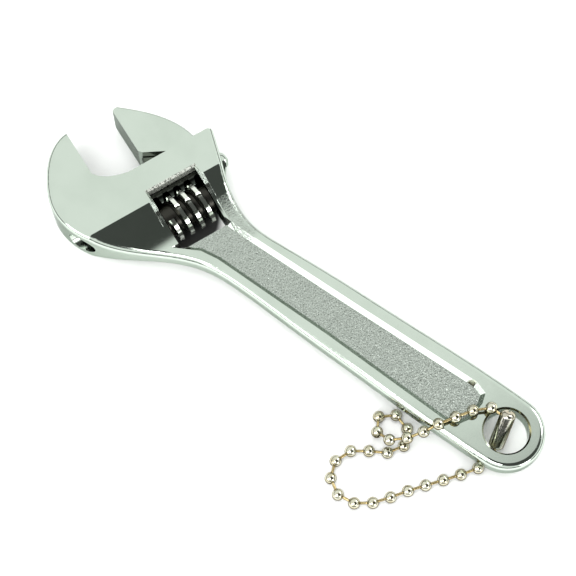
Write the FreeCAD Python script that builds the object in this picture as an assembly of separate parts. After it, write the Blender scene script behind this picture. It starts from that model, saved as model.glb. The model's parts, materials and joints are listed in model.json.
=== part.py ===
"""Pocket adjustable wrench with a bead chain through its hang hole.

Working axes: the hang hole's centre is the origin, +X runs up the handle to the head, +Z is the
thickness and +Y is the fixed jaw's side.  The head is turned HEAD_ANGLE from the handle, and its
parts are drawn in head coordinates (u along the jaws, v from the movable jaw towards the fixed
jaw).  At the end everything is moved so that the wrench lies on z = 0 with its centre over the
origin.  Millimetres throughout.
"""
import FreeCAD, Part
import math
import os

Vec = FreeCAD.Vector
Z_AXIS = Vec(0, 0, 1)

# ---- driving dimensions -------------------------------------------------------------------
HEAD_THICK = 10.0
HANDLE_THICK = 4.4
HEAD_ANGLE = 22.5
EDGE_ROUND = 1.2
RAMP_TOP_U = 77.2
RAMP_FOOT_U = 66.3
RAMP_OVERRUN = 4.0
BLANK_U = 90.0            # the head blank's straight top, before the mouth is cut

HANG_HOLE_R = 4.5
HANG_HOLE_BREAK = 0.35
TAIL_R = 7.7

PANEL_DEPTH = 1.0
PANEL_SLOPE = 0.9

SLIDE_U = 85.3            # the edge of the head that the movable jaw runs along
HEAD_CORNER_V = 15.9
HEAD_CORNER_ROUND = 1.6
FIXED_FACE_V = 42.3
JAW_GAP = 10.7
THROAT_RISE = 3.7
THROAT_RUN = 6.5
JAW_TIP_U = 99.6
JAW_THICK = 7.8
JAW_BACK_LENGTH = 11.6
JAW_EDGE_ROUND = 0.5
SHOULDER_GAP = 0.2
SLOT_END_WALL = 0.1

CHANNEL_U = 78.6
CHANNEL_R = 2.75
RAIL_CLEARANCE = 0.15
WEB_THICK = 3.0
WEB_CLEARANCE = 0.15
RAIL_V_OPEN_END = 16.3
RAIL_END_ROUND = 1.3
RAIL_V_INNER_END = 37.2

WINDOW_V = 23.7
WINDOW_WIDTH = 10.9
WINDOW_U = 66.1
WINDOW_TOP_U = 79.4
WINDOW_BREAK = 0.45

WORM_U = 73.6
WORM_R = 4.75
WORM_END_PLAY = 0.2
THREAD_PITCH = 2.5
THREAD_DEPTH = 1.6
THREAD_CREST = 0.8
THREAD_FLANK = 0.33
THREAD_SINK = 0.3
KNURL_COUNT = 10
KNURL_DEPTH = 0.45
KNURL_WIDTH = 0.9
MESH_CLEARANCE = 0.14

PIN_R = 1.2
PIN_CLEARANCE = 0.05
PIN_HEAD_R = 1.7
PIN_HEAD_LENGTH = 1.3
PIN_HEAD_V = 19.5
PIN_ANCHOR = 5.6
PIN_END_GAP = 0.4
PIN_SLOT_WIDTH = 0.5
PIN_SLOT_DEPTH = 0.6

SPRING_WIRE_R = 0.22
SPRING_COIL_R = 1.62
SPRING_TURNS = 4
SPRING_POCKET_DEPTH = 3.0
SPRING_POCKET_R = 2.0
SPRING_GAP = 0.02

BEAD_R = 1.2
BEAD_WALL = 0.25
BEAD_COUNT = 29
LINK_R = 0.28
LINK_BALL_R = 0.5
LINK_HOLE_R = 0.36
CONNECTOR_WIDTH = 3.1
CONNECTOR_WALL = 0.25
CONNECTOR_SLIT = 0.35
CONNECTOR_ROUND = 0.9
CONNECTOR_SLACK = 0.15

# ---- places that follow from them ---------------------------------------------------------
HALF_HEAD = HEAD_THICK / 2
HALF_HANDLE = HANDLE_THICK / 2
WINDOW_MID_V = WINDOW_V + WINDOW_WIDTH / 2
WORM_LENGTH = WINDOW_WIDTH - 2 * WORM_END_PLAY
WORM_ROOT_R = WORM_R - THREAD_DEPTH
THREAD_ROOT_HALF = THREAD_CREST / 2 + THREAD_FLANK * (THREAD_DEPTH + THREAD_SINK)
THREAD_LENGTH = WORM_LENGTH - 2 * THREAD_ROOT_HALF
MOVING_FACE_V = FIXED_FACE_V - JAW_GAP
JAW_BACK_V = MOVING_FACE_V - JAW_BACK_LENGTH
RAIL_R = CHANNEL_R - RAIL_CLEARANCE
FLOOR_Z = -HALF_HEAD
CHAIN_Z = FLOOR_Z + BEAD_R + 0.01
TOP_Z = HALF_HANDLE + BEAD_R + 0.05

# The chain's route, from the bead held in the connector's upper end, over the handle's edge,
# through a small loop, round on the floor and back under the tail to the connector's lower end.
CHAIN_ROUTE = [
    (1.3, -1.8, 3.0), (4.4, -2.3, 3.7), (6.9, -0.2, TOP_Z), (9.4, 3.7, TOP_Z),
    (12.0, 7.9, TOP_Z + 0.1), (13.7, 10.2, 0.0), (17.0, 14.1, -0.7), (20.7, 14.2, -3.2),
    (23.2, 11.6, CHAIN_Z), (21.4, 8.5, CHAIN_Z), (17.9, 8.3, CHAIN_Z), (15.4, 10.5, CHAIN_Z),
    (15.0, 14.0, CHAIN_Z), (18.0, 16.7, CHAIN_Z), (22.8, 18.8, CHAIN_Z), (24.8, 23.0, CHAIN_Z),
    (23.0, 27.4, CHAIN_Z), (18.5, 29.0, CHAIN_Z), (13.8, 26.6, CHAIN_Z), (9.4, 19.7, CHAIN_Z),
    (3.9, 12.6, CHAIN_Z), (0.6, 7.9, CHAIN_Z), (-0.9, 4.6, CHAIN_Z), (0.5, 1.75, -1.1)]


# ---- helpers ------------------------------------------------------------------------------
def head_point(u, v, z=0.0):
    """A point given in head coordinates, in working axes."""
    turn = math.radians(HEAD_ANGLE)
    return Vec(u * math.cos(turn) + v * math.sin(turn),
               v * math.cos(turn) - u * math.sin(turn), z)


def turned_to_head(shape):
    """A shape drawn with x = u and y = v, turned into working axes."""
    shape.rotate(Vec(0, 0, 0), Z_AXIS, -HEAD_ANGLE)
    return shape


def prism(wire, half):
    """The closed wire at z = 0, extruded to half above and half below."""
    face = Part.Face(wire)
    face.translate(Vec(0, 0, -half))
    return face.extrude(Vec(0, 0, 2 * half))


def polygon(points, z=0.0):
    corners = [Vec(x, y, z) for x, y in points]
    return Part.makePolygon(corners + [corners[0]])


def curve(points):
    """One smooth edge through the points."""
    line = Part.BSplineCurve()
    line.interpolate(points)
    return line.toShape()


def rod(radius, start, end):
    along = end - start
    return Part.makeCylinder(radius, along.Length, start, along)


def write(name, shape):
    shape.exportStep("parts/" + name + ".step")
    box = shape.BoundBox
    print("%-18s solids %d volume %.2f box %.1f %.1f %.1f" % (
        name, len(shape.Solids), shape.Volume, box.XLength, box.YLength, box.ZLength))


# ---- wrench body --------------------------------------------------------------------------
def body_outline():
    """The forging's outline: head with the fixed jaw, neck, handle and round tail."""
    right_corner = head_point(BLANK_U, 14.6)
    right_side = [Vec(0, -TAIL_R, 0), Vec(12, -7.8, 0), Vec(30, -7.3, 0), Vec(46, -6.85, 0),
                  Vec(59, -6.15, 0), Vec(66, -6.25, 0), Vec(71, -7.9, 0), head_point(74.2, 19.1)]
    left_side = [head_point(99.9, 41.5), head_point(99.4, 44.3), head_point(97.0, 47.8),
                 head_point(92.4, 51.0), head_point(86.9, 52.9), head_point(81.4, 52.4),
                 head_point(76.4, 49.8), head_point(71.8, 45.3), head_point(66.6, 38.6),
                 Vec(68.5, 7.0, 0), Vec(60, 6.35, 0), Vec(46, 6.85, 0), Vec(30, 7.3, 0),
                 Vec(12, 7.8, 0), Vec(0, TAIL_R, 0)]
    blank_corner = head_point(BLANK_U, 39.0)
    edges = [curve(right_side),
             Part.makeLine(right_side[-1], right_corner),
             Part.makeLine(right_corner, blank_corner),
             Part.makeLine(blank_corner, left_side[0]),
             curve(left_side),
             Part.Arc(left_side[-1], Vec(-TAIL_R, 0, 0), right_side[0]).toShape()]
    return Part.Wire(edges)


def ramp_envelope():
    """The thin handle's two faces and the hollow ramps, which climb on past the head's faces."""
    drop = HALF_HEAD - HALF_HANDLE
    run = RAMP_TOP_U - RAMP_FOOT_U
    radius = (run * run + drop * drop) / (2 * drop)
    climb = math.acos(1 - (drop + RAMP_OVERRUN) / radius)
    profile = []
    for side in (1, -1):
        points = [Vec(RAMP_FOOT_U + radius * math.sin(angle), 0,
                      side * (HALF_HANDLE + radius * (1 - math.cos(angle))))
                  for angle in (0, climb / 2, climb)]
        profile.append(points)
    upper, lower = profile
    far = Vec(115, 0, upper[2].z)
    near = Vec(-25, 0, HALF_HANDLE)
    far_low = Vec(far.x, 0, -far.z)
    near_low = Vec(near.x, 0, -near.z)
    edges = [Part.makeLine(near, upper[0]),
             Part.Arc(*upper).toShape(),
             Part.makeLine(upper[2], far),
             Part.makeLine(far, far_low),
             Part.makeLine(far_low, lower[2]),
             Part.Arc(*reversed(lower)).toShape(),
             Part.makeLine(lower[0], near_low),
             Part.makeLine(near_low, near)]
    face = Part.Face(Part.Wire(edges))
    face.translate(Vec(0, -40, 0))
    return turned_to_head(face.extrude(Vec(0, 140, 0)))


def rim_rounded(blank):
    """The blank with a round where its flat or hollow faces meet the forging's side wall."""
    rim = []
    for edge in blank.Edges:
        middle = edge.valueAt((edge.FirstParameter + edge.LastParameter) / 2)
        tilts = []
        for face in blank.ancestorsOfType(edge, Part.Face):
            tilts.append(abs(face.normalAt(*face.Surface.parameter(middle)).z))
        lowest = min(abs(corner.Z) for corner in edge.Vertexes)
        if min(tilts) < 0.1 and max(tilts) > 0.5 and lowest < HALF_HEAD + RAMP_OVERRUN / 2:
            rim.append(edge)
    return blank.makeFillet(EDGE_ROUND, rim)


def mouth_cut():
    """The space between the jaws: the fixed jaw's face, the throat and the sliding edge, which
    rounds off at the head's other side."""
    face_v = FIXED_FACE_V
    throat = curve([head_point(SLIDE_U + THROAT_RISE, face_v),
                    head_point(SLIDE_U + 2.1, face_v - 1.3),
                    head_point(SLIDE_U + 0.9, face_v - 3.4),
                    head_point(SLIDE_U, face_v - THROAT_RUN)])
    round_v = HEAD_CORNER_V + HEAD_CORNER_ROUND
    round_u = SLIDE_U - HEAD_CORNER_ROUND
    corner = Part.Arc(head_point(round_u, HEAD_CORNER_V),
                      head_point(round_u + HEAD_CORNER_ROUND * math.sqrt(0.5),
                                 round_v - HEAD_CORNER_ROUND * math.sqrt(0.5)),
                      head_point(SLIDE_U, round_v)).toShape()
    corners = [head_point(round_u, HEAD_CORNER_V), head_point(round_u, 5), head_point(115, 5),
               head_point(115, face_v), head_point(SLIDE_U + THROAT_RISE, face_v)]
    slide = Part.makeLine(head_point(SLIDE_U, face_v - THROAT_RUN), head_point(SLIDE_U, round_v))
    edges = [throat, slide, corner]
    for start, end in zip(corners, corners[1:]):
        edges.append(Part.makeLine(start, end))
    return prism(Part.Wire(edges), HEAD_THICK)


def window_cut():
    """The slot that the worm sits in, right through the head, with its edges broken."""
    low = -HEAD_THICK
    box = Part.makeBox(WINDOW_TOP_U - WINDOW_U, WINDOW_WIDTH, 2 * HEAD_THICK,
                       Vec(WINDOW_U, WINDOW_V, low))
    for side in (1, -1):
        inner = polygon([(WINDOW_U, WINDOW_V), (WINDOW_TOP_U, WINDOW_V),
                         (WINDOW_TOP_U, WINDOW_V + WINDOW_WIDTH),
                         (WINDOW_U, WINDOW_V + WINDOW_WIDTH)],
                        side * (HALF_HEAD - WINDOW_BREAK))
        spread = 2 * WINDOW_BREAK
        outer = polygon([(WINDOW_U, WINDOW_V - spread), (WINDOW_TOP_U + spread, WINDOW_V - spread),
                         (WINDOW_TOP_U + spread, WINDOW_V + WINDOW_WIDTH + spread),
                         (WINDOW_U, WINDOW_V + WINDOW_WIDTH + spread)],
                        side * (HALF_HEAD + WINDOW_BREAK))
        box = box.fuse(Part.makeLoft([inner, outer], True, True))
    return turned_to_head(box)


def channel_cut():
    """The round channel that the jaw's rail runs in, and the slot for its web."""
    bore = Part.makeCylinder(CHANNEL_R, 60, Vec(CHANNEL_U, 5, 0), Vec(0, 1, 0))
    slot_width = WEB_THICK + 2 * WEB_CLEARANCE
    slot_end = FIXED_FACE_V - SLOT_END_WALL
    slot = Part.makeBox(20, slot_end - 5, slot_width, Vec(CHANNEL_U, 5, -slot_width / 2))
    return turned_to_head(bore.fuse(slot))


def pin_cut():
    """The stepped hole for the worm's pin: head recess, shank hole and blind anchor end."""
    anchor_v = WINDOW_V + WINDOW_WIDTH + PIN_ANCHOR
    shank = Part.makeCylinder(PIN_R + PIN_CLEARANCE, anchor_v + PIN_END_GAP - PIN_HEAD_V,
                              Vec(WORM_U, PIN_HEAD_V, 0), Vec(0, 1, 0))
    outside = 5
    recess = Part.makeCylinder(PIN_HEAD_R + PIN_CLEARANCE, PIN_HEAD_LENGTH + outside,
                               Vec(WORM_U, PIN_HEAD_V - outside, 0), Vec(0, 1, 0))
    return turned_to_head(shank.fuse(recess))


def panel_cut(side):
    """The sunk panel on one face of the handle, with sloped walls all round."""
    floor = [head_point(WINDOW_U + 0.4, WINDOW_V + 0.5), head_point(WINDOW_U + 0.4, WINDOW_V + 9.9),
             Vec(71.2, 3.9, 0), Vec(67.0, 3.3, 0), Vec(40.0, 3.45, 0), Vec(11.4, 4.3, 0),
             Vec(9.0, 3.7, 0), Vec(8.0, 2.0, 0), Vec(7.8, -1.7, 0), Vec(8.3, -3.3, 0),
             Vec(10.3, -4.0, 0), Vec(40.0, -3.4, 0), Vec(66.0, -3.0, 0)]
    inner = Part.makePolygon(floor + [floor[0]])
    outer = inner.makeOffset2D(PANEL_SLOPE * 1.5, 2)
    inner.translate(Vec(0, 0, side * (HALF_HANDLE - PANEL_DEPTH)))
    outer.translate(Vec(0, 0, side * (HALF_HANDLE + PANEL_DEPTH / 2)))
    return Part.makeLoft([inner, outer], True, True)


def hang_hole_cut():
    """The hang hole with a small break at both faces."""
    hole = Part.makeCylinder(HANG_HOLE_R, 20, Vec(0, 0, -10))
    for side in (1, -1):
        mouth = Part.makeCone(HANG_HOLE_R, HANG_HOLE_R + 2 * HANG_HOLE_BREAK, 2 * HANG_HOLE_BREAK,
                              Vec(0, 0, side * (HALF_HANDLE - HANG_HOLE_BREAK)), Vec(0, 0, side))
        hole = hole.fuse(mouth)
    return hole


def wrench_body():
    """The forging: a rounded head blank and a rounded ramp and handle blank, where both are solid,
    less the jaws' mouth, the worm's window, the channel, the pin's hole, panels and hang hole."""
    head_blank = rim_rounded(prism(body_outline(), HALF_HEAD))
    handle_blank = rim_rounded(prism(body_outline(), 20).common(ramp_envelope()))
    body = head_blank.common(handle_blank)
    for cut in (mouth_cut(), window_cut(), channel_cut(), pin_cut(), panel_cut(1), panel_cut(-1),
                hang_hole_cut()):
        body = body.cut(cut)
    return body.removeSplitter()


# ---- movable jaw --------------------------------------------------------------------------
def jaw_block():
    """The jaw proper, above the sliding edge: a slanted shoulder, a broken heel that clears the
    throat when the jaws close, a flat gripping face and a curved back."""
    face_v = MOVING_FACE_V
    base_u = SLIDE_U + SHOULDER_GAP
    nose = Vec(JAW_TIP_U, face_v - 1.7, 0)
    back_foot = Vec(base_u, JAW_BACK_V, 0)
    back = curve([nose, Vec(JAW_TIP_U - 4.7, face_v - 6.6, 0), Vec(JAW_TIP_U - 9.3, face_v - 9.9, 0),
                  back_foot])
    corners = [back_foot, Vec(base_u, face_v - 5.4, 0), Vec(base_u + 2.55, face_v - 0.6, 0),
               Vec(base_u + 3.3, face_v, 0), Vec(JAW_TIP_U - 0.3, face_v, 0)]
    tip = Part.Arc(corners[-1], Vec(JAW_TIP_U + 0.15, face_v - 0.9, 0), nose).toShape()
    edges = [back]
    for start, end in zip(corners, corners[1:]):
        edges.append(Part.makeLine(start, end))
    edges.append(tip)
    block = prism(Part.Wire(edges), JAW_THICK / 2)
    rim = []
    for edge in block.Edges:
        middle = edge.valueAt((edge.FirstParameter + edge.LastParameter) / 2)
        on_face = abs(abs(middle.z) - JAW_THICK / 2) < 0.01
        if on_face and base_u + 4 < middle.x < JAW_TIP_U - 1 and middle.y < face_v - 1:
            rim.append(edge)
    return block.makeFillet(JAW_EDGE_ROUND, rim)


def rack_grooves():
    """The straight grooves that the worm's thread runs in, leaned by the thread's lead."""
    tip_u = WORM_U + WORM_ROOT_R + MESH_CLEARANCE
    root_u = WORM_U + WORM_R + MESH_CLEARANCE
    tip_half = THREAD_CREST / 2 + THREAD_FLANK * (WORM_R - WORM_ROOT_R) + MESH_CLEARANCE
    root_half = THREAD_CREST / 2 + MESH_CLEARANCE
    mean_r = (WORM_R + WORM_ROOT_R) / 2
    lean = THREAD_PITCH / (2 * math.pi * mean_r)
    height = 2 * CHANNEL_R
    grooves = []
    first = math.ceil((RAIL_V_OPEN_END - WINDOW_MID_V) / THREAD_PITCH)
    last = math.floor((RAIL_V_INNER_END + 0.5 - WINDOW_MID_V) / THREAD_PITCH)
    for number in range(first, last + 1):
        v = WINDOW_MID_V + number * THREAD_PITCH
        slope = (tip_half - root_half) / (root_u - tip_u)
        mouth_half = tip_half + 2 * slope
        section = [(tip_u - 2, v - mouth_half), (tip_u - 2, v + mouth_half),
                   (root_u, v + root_half), (root_u, v - root_half)]
        face = Part.Face(polygon(section, -height))
        face.translate(Vec(0, lean * height, 0))
        grooves.append(face.extrude(Vec(0, -2 * lean * height, 2 * height)))
    return Part.makeCompound(grooves)


def movable_jaw():
    length = RAIL_V_INNER_END - RAIL_V_OPEN_END
    rail = Part.makeCylinder(RAIL_R, length, Vec(CHANNEL_U, RAIL_V_OPEN_END, 0), Vec(0, 1, 0))
    ends = [edge for edge in rail.Edges if edge.Closed]
    rail = rail.makeFillet(RAIL_END_ROUND, ends)
    flat_u = WORM_U + WORM_ROOT_R + MESH_CLEARANCE
    flat = Part.makeBox(10, length + 2, 2 * CHANNEL_R,
                        Vec(flat_u - 10, RAIL_V_OPEN_END - 1, -CHANNEL_R))
    web = Part.makeBox(SLIDE_U + 2.6 - CHANNEL_U, MOVING_FACE_V - 0.2 - JAW_BACK_V, WEB_THICK,
                       Vec(CHANNEL_U, JAW_BACK_V, -WEB_THICK / 2))
    rail = rail.cut(flat).cut(rack_grooves())
    jaw = rail.fuse(web).fuse(jaw_block())
    return turned_to_head(jaw.removeSplitter())


# ---- worm, pin and spring -----------------------------------------------------------------
def along_worm(shape):
    """A shape drawn along z round the origin, with x towards the rail, put on the worm's axis."""
    place = FreeCAD.Matrix(1, 0, 0, WORM_U, 0, 0, -1, WINDOW_MID_V, 0, 1, 0, 0, 0, 0, 0, 1)
    shape.Placement = FreeCAD.Placement(place).multiply(shape.Placement)
    return turned_to_head(shape)


def worm_thread():
    """One thread with a trapezium section, swept along a helix and sunk a little in the core."""
    inner_r = WORM_ROOT_R - THREAD_SINK
    section = Part.makePolygon([Vec(inner_r, 0, -THREAD_ROOT_HALF), Vec(WORM_R, 0, -THREAD_CREST / 2),
                                Vec(WORM_R, 0, THREAD_CREST / 2), Vec(inner_r, 0, THREAD_ROOT_HALF),
                                Vec(inner_r, 0, -THREAD_ROOT_HALF)])
    helix = Part.Wire(Part.makeHelix(THREAD_PITCH, THREAD_LENGTH, WORM_R))
    thread = helix.makePipeShell([section], True, True)
    thread.translate(Vec(0, 0, -THREAD_LENGTH / 2))
    thread.rotate(Vec(0, 0, 0), Z_AXIS, -180 * THREAD_LENGTH / THREAD_PITCH)
    return thread


def worm():
    """The knurled worm with its pin bore and, at the end by the neck's side, a spring pocket."""
    core = Part.makeCylinder(WORM_ROOT_R, WORM_LENGTH, Vec(0, 0, -WORM_LENGTH / 2))
    body = core.fuse(worm_thread())
    for number in range(KNURL_COUNT):
        notch = Part.Face(polygon([(WORM_R - KNURL_DEPTH, 0), (WORM_R + 0.5, -KNURL_WIDTH),
                                   (WORM_R + 0.5, KNURL_WIDTH)], -WORM_LENGTH / 2))
        notch = notch.extrude(Vec(0, 0, WORM_LENGTH))
        notch.rotate(Vec(0, 0, 0), Z_AXIS, 360 * (number + 0.5) / KNURL_COUNT)
        body = body.cut(notch)
    bore = Part.makeCylinder(PIN_R + PIN_CLEARANCE, WORM_LENGTH, Vec(0, 0, -WORM_LENGTH / 2))
    pocket = Part.makeCylinder(SPRING_POCKET_R, SPRING_POCKET_DEPTH,
                               Vec(0, 0, WORM_LENGTH / 2 - SPRING_POCKET_DEPTH))
    return along_worm(body.cut(bore).cut(pocket))


def worm_pin():
    """The axle: a slotted head at the head's side, a plain shank and an end held in the forging."""
    anchor_v = WINDOW_V + WINDOW_WIDTH + PIN_ANCHOR
    along_v = Vec(0, 1, 0)
    shank = Part.makeCylinder(PIN_R, anchor_v - PIN_HEAD_V, Vec(WORM_U, PIN_HEAD_V, 0), along_v)
    head = Part.makeCylinder(PIN_HEAD_R, PIN_HEAD_LENGTH, Vec(WORM_U, PIN_HEAD_V, 0), along_v)
    slot = Part.makeBox(2 * PIN_HEAD_R, PIN_SLOT_DEPTH, PIN_SLOT_WIDTH,
                        Vec(WORM_U - PIN_HEAD_R, PIN_HEAD_V, -PIN_SLOT_WIDTH / 2))
    return turned_to_head(shank.fuse(head).cut(slot).removeSplitter())


def worm_spring():
    """The small coil in the worm's pocket, pressing on the window's wall."""
    height = SPRING_POCKET_DEPTH + WORM_END_PLAY - 2 * SPRING_WIRE_R - 2 * SPRING_GAP
    helix = Part.Wire(Part.makeLongHelix(height / SPRING_TURNS, height, SPRING_COIL_R))
    section = Part.Wire(Part.makeCircle(SPRING_WIRE_R, Vec(SPRING_COIL_R, 0, 0), Vec(0, 1, 0)))
    coil = helix.makePipeShell([section], True, True)
    start = WORM_LENGTH / 2 - SPRING_POCKET_DEPTH + SPRING_WIRE_R + SPRING_GAP
    coil.translate(Vec(0, 0, start))
    return along_worm(coil)


# ---- bead chain ---------------------------------------------------------------------------
def rounded_path(points):
    """Straight runs joined by tangent arcs as large as their runs allow."""
    points = [Vec(*point) for point in points]
    edges = []
    here = points[0]
    radii = []
    for before, corner, after in zip(points, points[1:], points[2:]):
        back = (before - corner).normalize()
        ahead = (after - corner).normalize()
        half_turn = (math.pi - back.getAngle(ahead)) / 2
        reach = 0.45 * min((before - corner).Length, (after - corner).Length)
        radius = reach / math.tan(half_turn)
        radii.append(radius)
        bisector = (back + ahead).normalize()
        middle = corner + bisector * (radius / math.cos(half_turn) - radius)
        edges.append(Part.LineSegment(here, corner + back * reach).toShape())
        edges.append(Part.Arc(corner + back * reach, middle, corner + ahead * reach).toShape())
        here = corner + ahead * reach
    edges.append(Part.LineSegment(here, points[-1]).toShape())
    print("chain bend radii:", " ".join("%.1f" % radius for radius in radii))
    return Part.Wire(edges)


def bead(centre, neighbours):
    """A hollow ball with a small hole towards each neighbour."""
    ball = Part.makeSphere(BEAD_R, centre)
    ball = ball.cut(Part.makeSphere(BEAD_R - BEAD_WALL, centre))
    for other in neighbours:
        ball = ball.cut(rod(LINK_HOLE_R, centre, centre + (other - centre).normalize() * BEAD_R * 1.5))
    return ball


def link(start, end):
    """A short wire with a ball at each end, held inside two neighbouring beads: one turned shape."""
    inside = BEAD_R - BEAD_WALL - LINK_BALL_R
    far = (end - start).Length - inside
    neck = math.sqrt(LINK_BALL_R ** 2 - LINK_R ** 2)
    bulge = LINK_BALL_R * math.sqrt(0.5)
    outline = [Part.Arc(Vec(0, 0, inside - LINK_BALL_R), Vec(bulge, 0, inside - bulge),
                        Vec(LINK_R, 0, inside + neck)).toShape(),
               Part.makeLine(Vec(LINK_R, 0, inside + neck), Vec(LINK_R, 0, far - neck)),
               Part.Arc(Vec(LINK_R, 0, far - neck), Vec(bulge, 0, far + bulge),
                        Vec(0, 0, far + LINK_BALL_R)).toShape(),
               Part.makeLine(Vec(0, 0, far + LINK_BALL_R), Vec(0, 0, inside - LINK_BALL_R))]
    turned = Part.Face(Part.Wire(outline)).revolve(Vec(0, 0, 0), Z_AXIS, 360)
    turned.Placement = FreeCAD.Placement(start, FreeCAD.Rotation(Z_AXIS, end - start))
    return turned


def chain_connector(lower, upper, first_link, last_link):
    """The folded sheet clasp that holds the two end beads, slit down one side."""
    axis = (upper - lower).normalize()
    reach = BEAD_R + CONNECTOR_WALL + CONNECTOR_SLACK
    length = (upper - lower).Length + 2 * reach
    start = lower - axis * reach
    half = CONNECTOR_WIDTH / 2
    shell = rod(half, start, start + axis * length)
    ends = [edge for edge in shell.Edges if edge.Closed]
    shell = shell.makeFillet(CONNECTOR_ROUND, ends)
    hollow = rod(half - CONNECTOR_WALL, start + axis * CONNECTOR_WALL,
                 start + axis * (length - CONNECTOR_WALL))
    inner_ends = [edge for edge in hollow.Edges if edge.Closed]
    shell = shell.cut(hollow.makeFillet(CONNECTOR_ROUND - CONNECTOR_WALL, inner_ends))
    for held, outside in (first_link, last_link):
        away = (outside - held).normalize()
        shell = shell.cut(rod(LINK_HOLE_R + 0.15, held, held + away * 2 * half))
    side = axis.cross(Z_AXIS).normalize()
    slit = Part.makeBox(length + 2, CONNECTOR_SLIT, half + 1, Vec(-1, -CONNECTOR_SLIT / 2, 0))
    place = FreeCAD.Matrix(axis.x, side.x, axis.cross(side).x, start.x,
                           axis.y, side.y, axis.cross(side).y, start.y,
                           axis.z, side.z, axis.cross(side).z, start.z, 0, 0, 0, 1)
    slit.Placement = FreeCAD.Placement(place)
    return shell.cut(slit)


# ---- the whole wrench ---------------------------------------------------------------------
def main():
    os.makedirs("parts", exist_ok=True)
    pieces = {"wrench_body": wrench_body(), "movable_jaw": movable_jaw(), "worm": worm(),
              "worm_pin": worm_pin(), "worm_spring": worm_spring()}
    box = Part.makeCompound([pieces["wrench_body"], pieces["movable_jaw"]]).optimalBoundingBox()
    path = rounded_path(CHAIN_ROUTE)
    print("chain length %.1f" % path.Length)
    centres = path.discretize(Number=BEAD_COUNT)
    links = []
    for start, end in zip(centres, centres[1:]):
        links.append(link(start, end))
    for number, centre in enumerate(centres):
        neighbours = centres[max(number - 1, 0):number] + centres[number + 1:number + 2]
        pieces["chain_bead_%02d" % (number + 1)] = bead(centre, neighbours)
    pieces["chain_links"] = Part.makeCompound(links)
    pieces["chain_connector"] = chain_connector(centres[-1], centres[0], centres[:2],
                                                [centres[-1], centres[-2]])
    shift = Vec(-box.Center.x, -box.Center.y, -FLOOR_Z)
    print("shift to the wrench's own origin: %.3f %.3f %.3f" % (shift.x, shift.y, shift.z))
    for name, shape in pieces.items():
        shape.translate(shift)
        write(name, shape)


main()
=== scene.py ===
# %% [markdown]
# # A pocket adjustable wrench with its bead chain
# The wrench is a chromed forging with a fixed jaw, a jaw that slides, and a knurled worm that moves
# it.  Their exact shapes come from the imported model, which is the frame of this scene.  Here each
# surface gets its finish, the chain is made bead by bead, and the studio is set up.

# %% Load the frame
import bmesh
import bpy
import json
import math
from mathutils import Matrix, Vector


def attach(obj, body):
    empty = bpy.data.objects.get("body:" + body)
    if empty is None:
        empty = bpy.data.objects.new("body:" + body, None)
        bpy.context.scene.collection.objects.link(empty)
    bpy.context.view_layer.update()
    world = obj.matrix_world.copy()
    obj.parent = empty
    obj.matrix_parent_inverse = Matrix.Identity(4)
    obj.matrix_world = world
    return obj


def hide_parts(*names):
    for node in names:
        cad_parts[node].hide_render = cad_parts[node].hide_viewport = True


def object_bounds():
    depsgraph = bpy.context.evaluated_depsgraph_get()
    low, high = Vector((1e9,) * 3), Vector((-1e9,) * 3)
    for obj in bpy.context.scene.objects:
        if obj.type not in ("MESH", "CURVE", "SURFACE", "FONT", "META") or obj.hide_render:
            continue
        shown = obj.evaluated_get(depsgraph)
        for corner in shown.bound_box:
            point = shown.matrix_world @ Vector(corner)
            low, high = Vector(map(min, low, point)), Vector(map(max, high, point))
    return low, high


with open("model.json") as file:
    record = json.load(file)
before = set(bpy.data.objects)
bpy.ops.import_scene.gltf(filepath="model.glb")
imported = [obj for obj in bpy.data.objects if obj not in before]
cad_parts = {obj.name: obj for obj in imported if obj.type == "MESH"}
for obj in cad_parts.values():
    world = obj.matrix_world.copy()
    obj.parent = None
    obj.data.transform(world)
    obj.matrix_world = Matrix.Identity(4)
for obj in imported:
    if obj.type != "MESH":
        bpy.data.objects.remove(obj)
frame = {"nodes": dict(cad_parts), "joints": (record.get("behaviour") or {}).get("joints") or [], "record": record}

cad_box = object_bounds()

# %% [markdown]
# ## Where things are
# The record keeps the hang hole as a mount, and its centre is a handy landmark: the camera aims at a
# point up the handle from it, and the chain starts in it.  The head is turned from the handle by
# the angle that the jaw slides at, so that angle is read from the jaw's joint.

# %% Landmarks
MM = 0.001
mounts = {mount["name"]: mount for mount in frame["record"]["mounts"]}
hang_hole = Vector(mounts["hang_hole"]["pos_m"])
slide = next(joint for joint in frame["joints"] if joint["name"] == "jaw_slide")
across_head = Vector(slide["axis"])
along_jaws = Vector((-across_head.y, across_head.x, 0.0))
worm_hinge = next(joint for joint in frame["joints"] if joint["name"] == "worm_spin")
worm_centre = Vector(worm_hinge["pos_m"])
print("hang hole %.1f %.1f %.1f mm" % tuple(hang_hole / MM),
      " head turned %.1f degrees" % math.degrees(math.atan2(-along_jaws.y, along_jaws.x)))

# %% [markdown]
# ## The camera
# A product shot of a small tool is taken with a long lens from well above, so that the outline
# stays true.  A camera looks down its own -Z axis with +Y up, so three directions at right angles
# give its turn: to the right, up, and back towards the camera.

# %% Camera
TARGET = hang_hole + Vector((52.4, 0.3, 0.0)) * MM
AZIMUTH = math.radians(125.84)
ELEVATION = math.radians(70.0)
DISTANCE = 363.6 * MM

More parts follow.
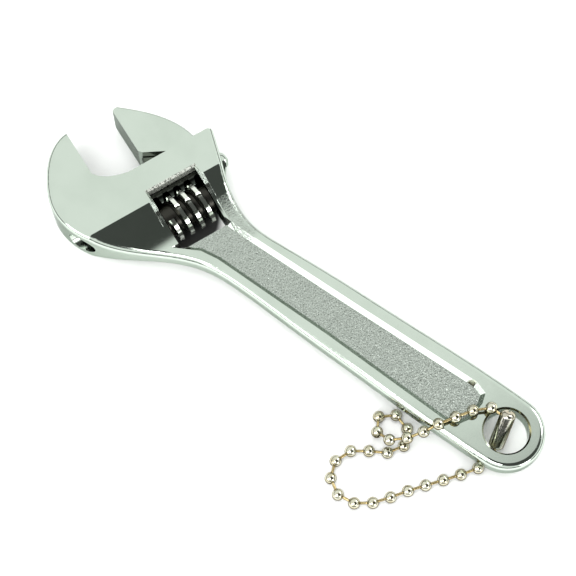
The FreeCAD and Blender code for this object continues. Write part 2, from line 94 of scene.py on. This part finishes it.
back = Vector((math.cos(ELEVATION) * math.cos(AZIMUTH),
               math.cos(ELEVATION) * math.sin(AZIMUTH), math.sin(ELEVATION)))
right = Vector((-math.sin(AZIMUTH), math.cos(AZIMUTH), 0.0))
upward = back.cross(right)
camera_data = bpy.data.cameras.new("camera")
camera_data.lens = 112.5
camera_data.sensor_width = 36.0
camera_data.clip_start = 0.01
camera = bpy.data.objects.new("camera", camera_data)
camera.matrix_world = Matrix((right, upward, back)).transposed().to_4x4()
camera.location = TARGET + back * DISTANCE
bpy.context.scene.collection.objects.link(camera)
bpy.context.scene.camera = camera
print("camera at %.0f %.0f %.0f mm" % tuple(camera.location / MM))

# %% [markdown]
# ## The chain's line
# A ball chain is limp: it drops from the hang hole over the handle's edge, coils once and lies on
# the floor, then comes back under the tail.  A NURBS spline through a few listed control
# points, in millimetres from the hang hole's centre, gives one smooth line.  Its order is set after
# its points are added, because an order set before them is cut down to straight runs.

# %% Chain route
HALF_HEAD_MM = 5.0
HALF_HANDLE_MM = 2.2
BEAD_R_MM = 1.2
BEAD_R = BEAD_R_MM * MM
ON_FLOOR = BEAD_R_MM + 0.01 - HALF_HEAD_MM
ON_HANDLE = HALF_HANDLE_MM + BEAD_R_MM + 0.05
CHAIN_ROUTE = [
    (1.3, -1.8, 3.0), (4.4, -2.3, 3.7), (6.9, -0.2, ON_HANDLE), (9.4, 3.7, ON_HANDLE),
    (12.0, 7.9, ON_HANDLE + 0.1), (13.7, 10.2, 0.0), (17.0, 14.1, -0.7), (20.7, 14.2, -3.2),
    (23.2, 11.6, ON_FLOOR), (21.4, 8.5, ON_FLOOR), (17.9, 8.3, ON_FLOOR), (15.4, 10.5, ON_FLOOR),
    (15.0, 14.0, ON_FLOOR), (18.0, 16.7, ON_FLOOR), (22.8, 18.8, ON_FLOOR), (24.8, 23.0, ON_FLOOR),
    (23.0, 27.4, ON_FLOOR), (18.5, 29.0, ON_FLOOR), (13.8, 26.6, ON_FLOOR), (9.4, 19.7, ON_FLOOR),
    (3.9, 12.6, ON_FLOOR), (0.6, 7.9, ON_FLOOR), (-0.9, 4.6, ON_FLOOR), (0.5, 1.75, -1.1)]

route_data = bpy.data.curves.new("chain_route", "CURVE")
route_data.dimensions = "3D"
route_data.resolution_u = 24
spline = route_data.splines.new("NURBS")
spline.points.add(len(CHAIN_ROUTE) - 1)
for control, place in zip(spline.points, CHAIN_ROUTE):
    control.co = (*(hang_hole + Vector(place) * MM), 1.0)
spline.order_u = 3
spline.use_endpoint_u = True
route = bpy.data.objects.new("chain_route", route_data)
route_mesh = bpy.data.meshes.new_from_object(route)
chain_line = [vertex.co.copy() for vertex in route_mesh.vertices]
bpy.data.meshes.remove(route_mesh)
bpy.data.objects.remove(route)


# %% [markdown]
# ## Even steps along a line
# Beads sit the same distance apart however the chain bends, so their places are found by walking
# the line and stopping at equal lengths.

# %% Walk the line
def line_length(points):
    return sum((end - start).length for start, end in zip(points, points[1:]))


def even_places(points, count):
    """count places along the points, the same length apart, ends included."""
    step = line_length(points) / (count - 1)
    places = [points[0]]
    walked = 0.0
    for start, end in zip(points, points[1:]):
        run = (end - start).length
        while len(places) < count and walked + run >= len(places) * step - 1e-9:
            share = (len(places) * step - walked) / run
            places.append(start.lerp(end, min(share, 1.0)))
        walked += run
    return places


chain_nodes = sorted(name for name in frame["nodes"] if name.startswith("chain_bead_"))
bead_places = even_places(chain_line, len(chain_nodes))
bead_step = (bead_places[1] - bead_places[0]).length
print("chain %.1f mm, %d beads, %.2f mm apart" % (line_length(chain_line) / MM,
                                                  len(bead_places), bead_step / MM))

# %% [markdown]
# ## One bead and one link
# A bead is a tiny ball drawn from sheet, with a hole at each end whose lip turns slightly in.  Its
# profile is an arc from one hole to the other, finished by a short lip, and turning that profile
# round the chain's direction makes the shell.  A link is a wire with a bulb at each end, hidden in
# its two beads, so only its waist shows.

# %% Turned profiles
TURNS = 28


def along_matrix(direction):
    """The turn that takes +Z to the direction."""
    return direction.to_track_quat("Z", "Y").to_matrix()


def add_turned(mesh, profile, centre, direction, closed):
    """Adds to the mesh the profile (radius, height) turned round the direction through centre."""
    turn = along_matrix(direction)
    rings = []
    for radius, height in profile:
        ring = []
        for number in range(TURNS):
            angle = 2 * math.pi * number / TURNS
            spot = Vector((radius * math.cos(angle), radius * math.sin(angle), height))
            ring.append(mesh.verts.new(centre + turn @ spot))
        rings.append(ring)
    pairs = list(zip(rings, rings[1:]))
    if closed:
        pairs.append((rings[-1], rings[0]))
    faces = []
    for low, high in pairs:
        for number in range(TURNS):
            after = (number + 1) % TURNS
            faces.append(mesh.faces.new((low[number], low[after], high[after], high[number])))
    if not closed:
        faces.append(mesh.faces.new(tuple(reversed(rings[0]))))
        faces.append(mesh.faces.new(tuple(rings[-1])))
    for face in faces:
        face.smooth = True
    return faces


# %% Bead profile
HOLE_R = 0.36 * MM
SHELL = 0.25 * MM
LIP_R = 0.07 * MM
ARC_STEPS = 18


def bead_profile():
    """The shell's section: outside from hole to hole, over the lip, and back inside."""
    start = math.asin(HOLE_R / BEAD_R)
    outside = []
    for number in range(ARC_STEPS + 1):
        angle = start + (math.pi - 2 * start) * number / ARC_STEPS
        outside.append((BEAD_R * math.sin(angle), -BEAD_R * math.cos(angle)))
    inner_r = BEAD_R - SHELL
    inner_start = math.asin((HOLE_R + LIP_R / 2) / inner_r)
    inside = []
    for number in range(ARC_STEPS + 1):
        angle = inner_start + (math.pi - 2 * inner_start) * number / ARC_STEPS
        inside.append((inner_r * math.sin(angle), -inner_r * math.cos(angle)))
    first_x, first_z = outside[0]
    last_x, last_z = outside[-1]
    lip_in = (first_x - LIP_R, first_z + LIP_R)
    lip_out = (last_x - LIP_R, last_z - LIP_R)
    return outside + [lip_out] + inside[::-1] + [lip_in]


# %% Link profile
WIRE_R = 0.28 * MM
BULB_R = 0.5 * MM


def link_profile(length):
    """A bulb inside each bead and the wire between them, from end to end."""
    reach = length / 2 - (BEAD_R - SHELL - BULB_R)
    neck = math.asin(WIRE_R / BULB_R)
    profile = []
    for number in range(7):
        angle = 0.05 + (math.pi - neck - 0.05) * number / 6
        profile.append((BULB_R * math.sin(angle), -reach - BULB_R * math.cos(angle)))
    profile += [(WIRE_R, -reach * 0.3), (WIRE_R, reach * 0.3)]
    return profile + [(radius, -height) for radius, height in profile[6::-1]]


# %% [markdown]
# ## The finished chain
# Every bead faces along the chain where it sits, so its holes point at its neighbours.  Beads and
# links are separate shells in one object, which is how the loose chain rides on the wrench and
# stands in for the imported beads.  The beads take one finish and the links another, by slot number.

# %% Chain mesh
def bead_direction(number):
    before = bead_places[max(number - 1, 0)]
    after = bead_places[min(number + 1, len(bead_places) - 1)]
    return (after - before).normalized()


chain_mesh = bmesh.new()
for number, place in enumerate(bead_places):
    add_turned(chain_mesh, bead_profile(), place, bead_direction(number), closed=True)
for start, end in zip(bead_places, bead_places[1:]):
    span = end - start
    for face in add_turned(chain_mesh, link_profile(span.length), start.lerp(end, 0.5),
                           span.normalized(), closed=False):
        face.material_index = 1
bmesh.ops.recalc_face_normals(chain_mesh, faces=chain_mesh.faces)
chain_data = bpy.data.meshes.new("bead_chain")
chain_mesh.to_mesh(chain_data)
chain_mesh.free()
bead_chain = bpy.data.objects.new("bead_chain", chain_data)
bpy.context.scene.collection.objects.link(bead_chain)
print("chain mesh: %d faces" % len(chain_data.polygons))

# %% Chain in the frame
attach(bead_chain, "frame")
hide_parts("chain_links", *chain_nodes)

# %% [markdown]
# ## Finishes
# Every finish here is a node tree that works from the surface's own position, so it needs no
# unwrapping and keeps its scale.  A small kit keeps the trees readable: one call makes a material
# with its shader, one adds a node, and one lays a noise at a size given in millimetres.

# %% Node kit
class Finish:
    """A material under construction, with its shader and its position input at hand."""

    def __init__(self, name, colour, metallic, roughness):
        self.material = bpy.data.materials.new(name)
        self.material.use_nodes = True
        self.tree = self.material.node_tree
        self.shader = self.tree.nodes["Principled BSDF"]
        self.set(self.shader, "Base Color", (*colour, 1.0))
        self.set(self.shader, "Metallic", metallic)
        self.set(self.shader, "Roughness", roughness)
        self.position = self.node("ShaderNodeTexCoord").outputs["Object"]

    def node(self, kind, **settings):
        made = self.tree.nodes.new(kind)
        for name, value in settings.items():
            setattr(made, name, value)
        return made

    def set(self, node, socket, value):
        """Sets a socket's own value, or links it if the value is another node's output."""
        if isinstance(value, bpy.types.NodeSocket):
            self.tree.links.new(value, node.inputs[socket])
        else:
            node.inputs[socket].default_value = value

    def noise(self, size_mm, detail=2.0, roughness=0.5):
        """Soft random grey with features of about that size."""
        made = self.node("ShaderNodeTexNoise")
        self.set(made, "Vector", self.position)
        self.set(made, "Scale", 1.0 / (size_mm * MM))
        self.set(made, "Detail", detail)
        self.set(made, "Roughness", roughness)
        return made.outputs["Fac"]

    def ramp(self, value, low, high, result_low=0.0, result_high=1.0):
        """Maps the value from low..high to the results, smoothly and with no overshoot."""
        made = self.node("ShaderNodeMapRange", interpolation_type="SMOOTHSTEP")
        self.set(made, "Value", value)
        for socket, number in (("From Min", low), ("From Max", high),
                               ("To Min", result_low), ("To Max", result_high)):
            self.set(made, socket, number)
        return made.outputs["Result"]

    def maths(self, operation, first, second=0.0):
        made = self.node("ShaderNodeMath", operation=operation)
        self.set(made, 0, first)
        self.set(made, 1, second)
        return made.outputs["Value"]

    def mix(self, share, first, second):
        """A colour between first and second."""
        made = self.node("ShaderNodeMix", data_type="RGBA")
        self.set(made, 0, share)
        self.set(made, 6, first if isinstance(first, bpy.types.NodeSocket) else (*first, 1.0))
        self.set(made, 7, second if isinstance(second, bpy.types.NodeSocket) else (*second, 1.0))
        return made.outputs[2]

    def bump(self, height, depth_mm, strength=1.0, under=None):
        """Adds relief of that depth; under is another bump that this one lies on."""
        made = self.node("ShaderNodeBump")
        self.set(made, "Strength", strength)
        self.set(made, "Distance", depth_mm * MM)
        self.set(made, "Height", height)
        if under is not None:
            self.set(made, "Normal", under)
        return made.outputs["Normal"]

    def along(self, direction, origin):
        """How far the surface is from the origin, measured along the direction, in metres."""
        away = self.node("ShaderNodeVectorMath", operation="SUBTRACT")
        self.set(away, 0, self.position)
        self.set(away, 1, tuple(origin))
        made = self.node("ShaderNodeVectorMath", operation="DOT_PRODUCT")
        self.set(made, 0, away.outputs["Vector"])
        self.set(made, 1, tuple(direction))
        return made.outputs["Value"]

    def within(self, value, limit_mm, edge_mm=0.05):
        """1 where the value lies within the limit of zero, 0 beyond, with a soft edge."""
        size = self.maths("ABSOLUTE", value)
        return self.ramp(size, limit_mm * MM, (limit_mm + edge_mm) * MM, 1.0, 0.0)

    def all_of(self, *masks):
        result = masks[0]
        for mask in masks[1:]:
            result = self.maths("MULTIPLY", result, mask)
        return result


# %% [markdown]
# ## Polished chrome
# Bright plate over a polished forging is nearly a mirror, yet never perfect.  The polishing leaves
# a slow waviness that bends reflections, the plate has faint cloudy patches, and handling leaves
# hairline marks.  The body, the jaw and the worm share this finish with small changes.

# %% Chrome finish
CHROME = (0.64, 0.705, 0.64)
CHROME_DULL = (0.60, 0.665, 0.60)
CHROME_EDGE = (0.38, 0.41, 0.38, 1.0)


def chrome(name, wave_mm=6.0, wave_depth=0.012, roughness=0.09):
    """Polished plate: cloudy tint, slow waves, and fine marks in the polish."""
    finish = Finish(name, CHROME, 1.0, roughness)
    clouds = finish.noise(9.0, 3.0)
    colour = finish.mix(finish.ramp(clouds, 0.35, 0.7), CHROME, CHROME_DULL)
    finish.set(finish.shader, "Base Color", colour)
    marks = finish.noise(0.35, 4.0, 0.7)
    finish.rough = finish.ramp(marks, 0.3, 0.75, roughness * 0.7, roughness * 1.5)
    finish.set(finish.shader, "Roughness", finish.rough)
    waves = finish.bump(finish.noise(wave_mm, 1.0), wave_depth)
    finish.relief = finish.bump(marks, 0.0012, under=waves)
    finish.set(finish.shader, "Normal", finish.relief)
    finish.set(finish.shader, "Specular Tint", CHROME_EDGE)
    finish.colour = colour
    return finish


# %% [markdown]
# ## Ground faces and painted shade in recesses
# The two faces that grip a nut are made rougher like ground steel, and their colour is painted
# darker grey as shade between the jaws.  Between the jaw's shoulder and the head, and in the rack's
# notches, the colour is painted nearly black as shade.  All of them are found by measuring along the
# head's own directions from the worm's centre.

# %% Ground gripping faces, painted darker as shade
GROUND_FACE_SHADE = (0.34, 0.365, 0.34)
RECESS_SHADE = (0.045, 0.048, 0.042)


def grind_and_shade(finish, mount_name):
    """Makes a gripping face rougher like ground steel and paints it darker grey as shade, above the edge that the
    jaw slides along.
    """
    off_face = finish.along(across_head, mounts[mount_name]["pos_m"])
    up_jaws = finish.along(along_jaws, worm_centre)
    off_middle = finish.along((0, 0, 1), hang_hole)
    on_face = finish.all_of(finish.within(off_face, 0.02, 0.03), finish.within(off_middle, 4.7),
                            finish.ramp(up_jaws, 11.8 * MM, 12.0 * MM))
    # Painted shade: the gripping face's colour is darkened to grey, as shade between the jaws; the added roughness
    # is the ground finish.
    finish.colour = finish.mix(on_face, finish.colour, GROUND_FACE_SHADE)
    finish.set(finish.shader, "Base Color", finish.colour)
    finish.rough = finish.maths("ADD", finish.rough, finish.maths("MULTIPLY", on_face, 0.13))
    finish.set(finish.shader, "Roughness", finish.rough)


jaw_chrome = chrome("jaw_chrome")
grind_and_shade(jaw_chrome, "movable_jaw_face")

# %% Painted shade in the jaw's recesses
jaw_u = jaw_chrome.along(along_jaws, worm_centre)
jaw_v = jaw_chrome.along(across_head, worm_centre)
jaw_z = jaw_chrome.along((0, 0, 1), hang_hole)
notches = jaw_chrome.all_of(jaw_chrome.within(jaw_v, 5.8),
                            jaw_chrome.ramp(jaw_u, 3.6 * MM, 4.3 * MM),
                            jaw_chrome.ramp(jaw_u, 6.0 * MM, 6.2 * MM, 1.0, 0.0))
web = jaw_chrome.all_of(jaw_chrome.within(jaw_z, 1.9),
                        jaw_chrome.ramp(jaw_u, 9.0 * MM, 9.2 * MM),
                        jaw_chrome.ramp(jaw_u, 14.4 * MM, 14.7 * MM, 1.0, 0.0))
recess_shade_mask = jaw_chrome.maths("MAXIMUM", notches, web)
# Painted shade: the rack's notches and the web under the jaw's shoulder are coloured nearly black.
jaw_chrome.set(jaw_chrome.shader, "Base Color", jaw_chrome.mix(recess_shade_mask, jaw_chrome.colour, RECESS_SHADE))
print("made", jaw_chrome.material.name)

# %% [markdown]
# ## The pebbled panel
# The handle's sunk panel is left with the die's rough skin, and the plate follows it: a field of
# tiny rounded lumps that glitter.  The panel's floor is the only flat surface at its own depth, so
# the height above the wrench's middle picks it out, and cell noise gives the lumps.  The neck beside
# the window has a little of the same skin.

# %% Panel floor
HALF_HANDLE = HALF_HANDLE_MM * MM
PANEL_DEPTH = 1.0 * MM
PEBBLE_MM = 0.36

body_chrome = chrome("body_chrome")
grind_and_shade(body_chrome, "fixed_jaw_face")
body_z = body_chrome.maths("ABSOLUTE", body_chrome.along((0, 0, 1), hang_hole))
facing = body_chrome.node("ShaderNodeSeparateXYZ")
body_chrome.set(facing, "Vector", body_chrome.node("ShaderNodeTexCoord").outputs["Normal"])
upright = body_chrome.ramp(body_chrome.maths("ABSOLUTE", facing.outputs[2]), 0.93, 0.98)
off_floor = body_chrome.maths("SUBTRACT", body_z, HALF_HANDLE - PANEL_DEPTH)
panel_floor = body_chrome.all_of(upright, body_chrome.within(off_floor, 0.02))

# %% Neck beside the window
body_u = body_chrome.along(along_jaws, worm_centre)
body_v = body_chrome.along(across_head, worm_centre)
neck = body_chrome.all_of(body_chrome.ramp(body_v, 5.9 * MM, 6.1 * MM),
                          body_chrome.ramp(body_v, 9.0 * MM, 10.5 * MM, 1.0, 0.0),
                          body_chrome.ramp(body_u, -3.0 * MM, -1.0 * MM, 0.6, 0.0),
                          body_chrome.ramp(body_u, -14.0 * MM, -11.0 * MM))
panel = body_chrome.maths("MAXIMUM", panel_floor, neck)

# %% Pebbles
pebbles = body_chrome.node("ShaderNodeTexVoronoi", feature="SMOOTH_F1")
body_chrome.set(pebbles, "Vector", body_chrome.position)
body_chrome.set(pebbles, "Scale", 1.0 / (PEBBLE_MM * MM))
body_chrome.set(pebbles, "Smoothness", 0.5)
lumps = body_chrome.maths("SUBTRACT", 1.0, pebbles.outputs["Distance"])
grit = body_chrome.noise(0.24, 3.0, 0.6)
skin = body_chrome.maths("MULTIPLY", body_chrome.maths("ADD", lumps, grit), panel)
pits = body_chrome.all_of(panel, body_chrome.ramp(grit, 0.34, 0.42, 1.0, 0.0))

# %% [markdown]
# ## The window's rough walls
# Nobody polishes inside the slot that holds the worm.  Its walls keep the torn grain of the cut,
# with plate over it, so they sparkle instead of mirroring, and deep down they are painted nearly black as shade.

# %% Window walls
steep = body_chrome.maths("SUBTRACT", 1.0, upright)
walls = body_chrome.all_of(steep, body_chrome.within(body_v, 6.3),
                           body_chrome.ramp(body_u, -7.7 * MM, -7.6 * MM),
                           body_chrome.ramp(body_u, 6.8 * MM, 6.9 * MM, 1.0, 0.0))
deep_wall_shade = body_chrome.all_of(walls, body_chrome.within(body_z, 3.9, 0.2),
                          body_chrome.ramp(body_u, 5.2 * MM, 5.6 * MM, 1.0, 0.0))
top_wall = body_chrome.all_of(walls, body_chrome.ramp(body_u, 5.6 * MM, 5.8 * MM))
torn = body_chrome.noise(0.3, 4.0, 0.7)
relief = body_chrome.bump(body_chrome.maths("MULTIPLY", torn, walls), 0.12,
                          under=body_chrome.relief)

# %% Body finish
PANEL_TINT = (0.50, 0.54, 0.50)
PIT_TINT = (0.15, 0.16, 0.14)
BRIGHT_GRAIN = (0.90, 0.92, 0.86)
tint = body_chrome.mix(panel, body_chrome.colour, PANEL_TINT)
# Painted shade: the walls deep in the worm's window are coloured nearly black.
tint = body_chrome.mix(deep_wall_shade, body_chrome.mix(pits, tint, PIT_TINT), RECESS_SHADE)
grain = body_chrome.mix(body_chrome.ramp(torn, 0.42, 0.54), PIT_TINT, BRIGHT_GRAIN)
tint = body_chrome.mix(top_wall, tint, grain)
body_chrome.set(body_chrome.shader, "Base Color", tint)
body_chrome.set(body_chrome.shader, "Normal", body_chrome.bump(skin, 0.07, under=relief))
rougher = body_chrome.maths("MULTIPLY", body_chrome.maths("MAXIMUM", panel, walls), 0.17)
rougher = body_chrome.maths("ADD", rougher, body_chrome.maths("MULTIPLY", top_wall, 0.32))
body_chrome.set(body_chrome.shader, "Roughness", body_chrome.maths("ADD", body_chrome.rough, rougher))
print("made", body_chrome.material.name)

# %% [markdown]
# ## The worm
# The worm is knurled on its crests so that a thumb can turn it, and it is plated with the rest.
# The thread's valleys are painted nearly black as shade, and the crests are painted pale as highlight.  The
# distance from the worm's own axis tells crest from valley, and it doesn't change as the worm turns.

# %% Worm finish
WORM_R = 4.75 * MM
THREAD_DEPTH = 1.6 * MM

worm_chrome = chrome("worm_chrome", wave_mm=2.0, wave_depth=0.01, roughness=0.12)
from_centre = worm_chrome.node("ShaderNodeVectorMath", operation="SUBTRACT")
worm_chrome.set(from_centre, 0, worm_chrome.position)
worm_chrome.set(from_centre, 1, tuple(worm_centre))
off_axis = worm_chrome.node("ShaderNodeVectorMath", operation="CROSS_PRODUCT")
worm_chrome.set(off_axis, 0, from_centre.outputs["Vector"])
worm_chrome.set(off_axis, 1, tuple(across_head))
reach = worm_chrome.node("ShaderNodeVectorMath", operation="LENGTH")
worm_chrome.set(reach, 0, off_axis.outputs["Vector"])
crest_light_valley_shade = worm_chrome.ramp(reach.outputs["Value"], WORM_R - THREAD_DEPTH, WORM_R - 0.3 * MM)
# Painted light: near-black valleys stand for shade and pale crests for highlight.
worm_chrome.set(worm_chrome.shader, "Base Color",
                worm_chrome.mix(crest_light_valley_shade, (0.05, 0.048, 0.042), (0.86, 0.88, 0.82)))
worm_chrome.set(worm_chrome.shader, "Roughness", worm_chrome.ramp(crest_light_valley_shade, 0.0, 1.0, 0.34, 0.14))
print("made", worm_chrome.material.name)

# %% [markdown]
# ## Turned pin and drawn wire
# The pin is plain turned steel, whose lathe marks are rings round its axis; the spring is drawn
# wire, grey and slightly streaked.  A wave texture along the pin's axis makes the rings.

# %% Steel finishes
pin_steel = Finish("pin_steel", (0.55, 0.55, 0.53), 1.0, 0.3)
along_pin = pin_steel.node("ShaderNodeVectorMath", operation="DOT_PRODUCT")
pin_steel.set(along_pin, 0, pin_steel.position)
pin_steel.set(along_pin, 1, tuple(across_head / (0.12 * MM)))
rings = pin_steel.maths("SINE", along_pin.outputs["Value"])
stain = pin_steel.ramp(pin_steel.noise(1.5, 3.0), 0.45, 0.65)
pin_steel.set(pin_steel.shader, "Base Color",
              pin_steel.mix(stain, (0.55, 0.55, 0.53), (0.38, 0.30, 0.22)))
pin_steel.set(pin_steel.shader, "Roughness",
              pin_steel.ramp(pin_steel.noise(0.4, 3.0), 0.3, 0.7, 0.22, 0.42))
pin_steel.set(pin_steel.shader, "Normal", pin_steel.bump(rings, 0.004))

spring_steel = Finish("spring_steel", (0.42, 0.42, 0.43), 1.0, 0.35)
streaks = spring_steel.noise(0.25, 4.0)
spring_steel.set(spring_steel.shader, "Base Color",
                 spring_steel.mix(streaks, (0.34, 0.34, 0.36), (0.52, 0.51, 0.49)))
spring_steel.set(spring_steel.shader, "Roughness",
                 spring_steel.ramp(streaks, 0.3, 0.7, 0.28, 0.45))
spring_steel.set(spring_steel.shader, "Normal", spring_steel.bump(streaks, 0.004))
print("made", pin_steel.material.name, spring_steel.material.name)

# %% [markdown]
# ## The chain's plating
# The beads are nickel plated, warmer than chrome, and each one has picked up tiny dents and a
# patchy tint.  Worn plate lets the brass show on the links, which are bare bright wire.  The sides and underside
# of every piece are painted darker as shade.

# %% Chain finishes
UNDERSIDE_SHADE = (0.16, 0.14, 0.08)


def plated(name, bright, warm, roughness, patch_mm):
    """A small part's plating: patches of two tints, painted shade on the sides and underside, with dents and
    uneven polish.
    """
    finish = Finish(name, bright, 1.0, roughness)
    patches = finish.ramp(finish.noise(patch_mm, 3.0), 0.4, 0.68)
    facing = finish.node("ShaderNodeSeparateXYZ")
    finish.set(facing, "Vector", finish.node("ShaderNodeTexCoord").outputs["Normal"])
    # Painted shade: faces that turn sideways or down get the dark tint.
    under = finish.ramp(facing.outputs[2], 0.05, 0.5, 1.0, 0.0)
    plate_and_underside_shade = finish.mix(under, finish.mix(patches, bright, warm), UNDERSIDE_SHADE)
    finish.set(finish.shader, "Base Color", plate_and_underside_shade)
    dents = finish.noise(patch_mm * 0.25, 3.0)
    finish.set(finish.shader, "Roughness",
               finish.ramp(dents, 0.3, 0.75, roughness * 0.7, roughness * 1.6))
    finish.set(finish.shader, "Normal", finish.bump(dents, 0.008))
    finish.set(finish.shader, "Specular Tint", (0.22, 0.19, 0.13, 1.0))
    return finish


bead_nickel = plated("bead_nickel", (0.72, 0.70, 0.58), (0.58, 0.53, 0.38), 0.09, 1.4)
link_brass = plated("link_brass", (0.62, 0.50, 0.27), (0.48, 0.36, 0.16), 0.2, 0.9)
connector_nickel = plated("connector_nickel", (0.62, 0.61, 0.55), (0.50, 0.46, 0.36), 0.13, 2.2)
print("made", bead_nickel.material.name, link_brass.material.name, connector_nickel.material.name)


# %% [markdown]
# ## Dress the pieces
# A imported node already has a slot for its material, so dressing it means putting the new finish in
# that slot.

# %% Assign finishes
def dress(name, finish):
    mesh = frame["nodes"][name].data
    mesh.materials.clear()
    mesh.materials.append(finish.material)


for name, finish in (("wrench_body", body_chrome), ("movable_jaw", jaw_chrome),
                     ("worm", worm_chrome), ("worm_pin", pin_steel),
                     ("worm_spring", spring_steel), ("chain_connector", connector_nickel)):
    dress(name, finish)
chain_data.materials.append(bead_nickel.material)
chain_data.materials.append(link_brass.material)

# %% [markdown]
# ## The floor
# The tool lies on a plain pale sweep that is large enough to fill any view.  A dark disc is painted
# on the paper under the worm as shadow, so the paper seen through the worm's window is dark.

# %% Floor
FLOOR_HALF = 0.5
WINDOW_SHADOW_TINT = (0.03, 0.03, 0.03)
WINDOW_SHADOW_R = 6.0 * MM
floor_data = bpy.data.meshes.new("floor")
floor_data.from_pydata([(-FLOOR_HALF, -FLOOR_HALF, 0), (FLOOR_HALF, -FLOOR_HALF, 0),
                        (FLOOR_HALF, FLOOR_HALF, 0), (-FLOOR_HALF, FLOOR_HALF, 0)],
                       [], [(0, 1, 2, 3)])
floor = bpy.data.objects.new("floor", floor_data)
floor.location.z = cad_box[0][2] - 0.05 * MM
bpy.context.scene.collection.objects.link(floor)
floor_finish = Finish("paper", (0.93, 0.93, 0.93), 0.0, 0.8)
fibres = floor_finish.noise(4.0, 3.0)
paper = floor_finish.mix(fibres, (0.93, 0.93, 0.93), (0.95, 0.95, 0.95))
from_worm = floor_finish.node("ShaderNodeVectorMath", operation="DISTANCE")
floor_finish.set(from_worm, 0, floor_finish.position)
floor_finish.set(from_worm, 1, (worm_centre.x, worm_centre.y, 0.0))
# Painted shadow: a near-black disc on the paper under the worm's window.
window_shadow = floor_finish.ramp(from_worm.outputs["Value"], WINDOW_SHADOW_R, 1.25 * WINDOW_SHADOW_R, 1.0, 0.0)
floor_finish.set(floor_finish.shader, "Base Color", floor_finish.mix(window_shadow, paper, WINDOW_SHADOW_TINT))
floor_data.materials.append(floor_finish.material)

# %% [markdown]
# ## The studio's light
# Chrome shows its surroundings, so the surroundings are the lighting.  A pale tent stands over the
# table, open near the ground, where the dim room shows: it draws the dark lines along every rounded
# edge.  The tent has one darker flap beyond the tail.  Flat faces reflect the cloth and stay pale,
# while the ramp below the head reflects the flap and turns dark, so the flap is only as wide as the
# ramp's curve needs.  The backdrop seen straight through the lens is plain white.

# %% Tent
scene = bpy.context.scene
scene.view_settings.view_transform = "Standard"
FLAP_DIRECTION = Vector((-0.426, -0.039, 0.904)).normalized()
CLOTH = (1.0, 1.04, 1.0, 1.0)
ROOM = (0.10, 0.105, 0.10, 1.0)
FLAP = (0.07, 0.075, 0.07, 1.0)
FLAP_EDGE = (0.829, 0.906)
ROOM_EDGE = (0.20, 0.34)

tent = bpy.data.worlds.new("tent")
tent.use_nodes = True
tree = tent.node_tree
heading = tree.nodes.new("ShaderNodeTexCoord").outputs["Generated"]


def tent_share(direction, low, high):
    """How much a heading leans to the direction, from 0 at cosine low to 1 at cosine high."""
    lean = tree.nodes.new("ShaderNodeVectorMath")
    lean.operation = "DOT_PRODUCT"
    tree.links.new(heading, lean.inputs[0])
    lean.inputs[1].default_value = direction
    share = tree.nodes.new("ShaderNodeMapRange")
    share.interpolation_type = "SMOOTHSTEP"
    share.inputs["From Min"].default_value = low
    share.inputs["From Max"].default_value = high
    tree.links.new(lean.outputs["Value"], share.inputs["Value"])
    return share.outputs["Result"]


def tent_mix(share, first, second):
    made = tree.nodes.new("ShaderNodeMix")
    made.data_type = "RGBA"
    tree.links.new(share, made.inputs[0])
    for number, colour in ((6, first), (7, second)):
        if isinstance(colour, bpy.types.NodeSocket):
            tree.links.new(colour, made.inputs[number])
        else:
            made.inputs[number].default_value = colour
    return made.outputs[2]


cloth = tent_mix(tent_share(FLAP_DIRECTION, *FLAP_EDGE), CLOTH, FLAP)
walls_up = tent_mix(tent_share((0, 0, 1), *ROOM_EDGE), ROOM, cloth)
seen = tree.nodes.new("ShaderNodeLightPath").outputs["Is Camera Ray"]
tree.links.new(tent_mix(seen, walls_up, (1.0, 1.0, 1.0, 1.0)),
               tree.nodes["Background"].inputs["Color"])
scene.world = tent


# %% [markdown]
# ## The lamps
# Four soft square lamps draw the highlights, each along the edges that lean towards it.  A fifth
# one, the wash, only whitens the paper: it is hidden from reflections, because the chrome would
# show it as a glare.

# %% Lamps
LAMP_DISTANCE = 0.9


def lamp(name, direction, size, power):
    """A square soft lamp that shines on the wrench from that direction, out of the camera's sight."""
    data = bpy.data.lights.new(name, "AREA")
    data.size = size
    data.energy = power
    made = bpy.data.objects.new(name, data)
    made.location = TARGET + direction.normalized() * LAMP_DISTANCE
    made.rotation_euler = direction.to_track_quat("Z", "Y").to_euler()
    made.visible_camera = False
    scene.collection.objects.link(made)
    return made


lamp("key_lamp", Vector((-0.35, -0.75, 0.62)), 0.4, 1.8)
lamp("top_lamp", Vector((-0.1, 0.5, 0.86)), 0.4, 2.6)
lamp("front_lamp", Vector((0.25, 0.9, 0.42)), 0.5, 1.7)
lamp("tail_lamp", Vector((-0.93, 0.19, 0.30)), 0.3, 1.5)
wash = lamp("wash_lamp", Vector((0.05, -0.05, 1.0)), 0.6, 3.9)
wash.visible_glossy = False
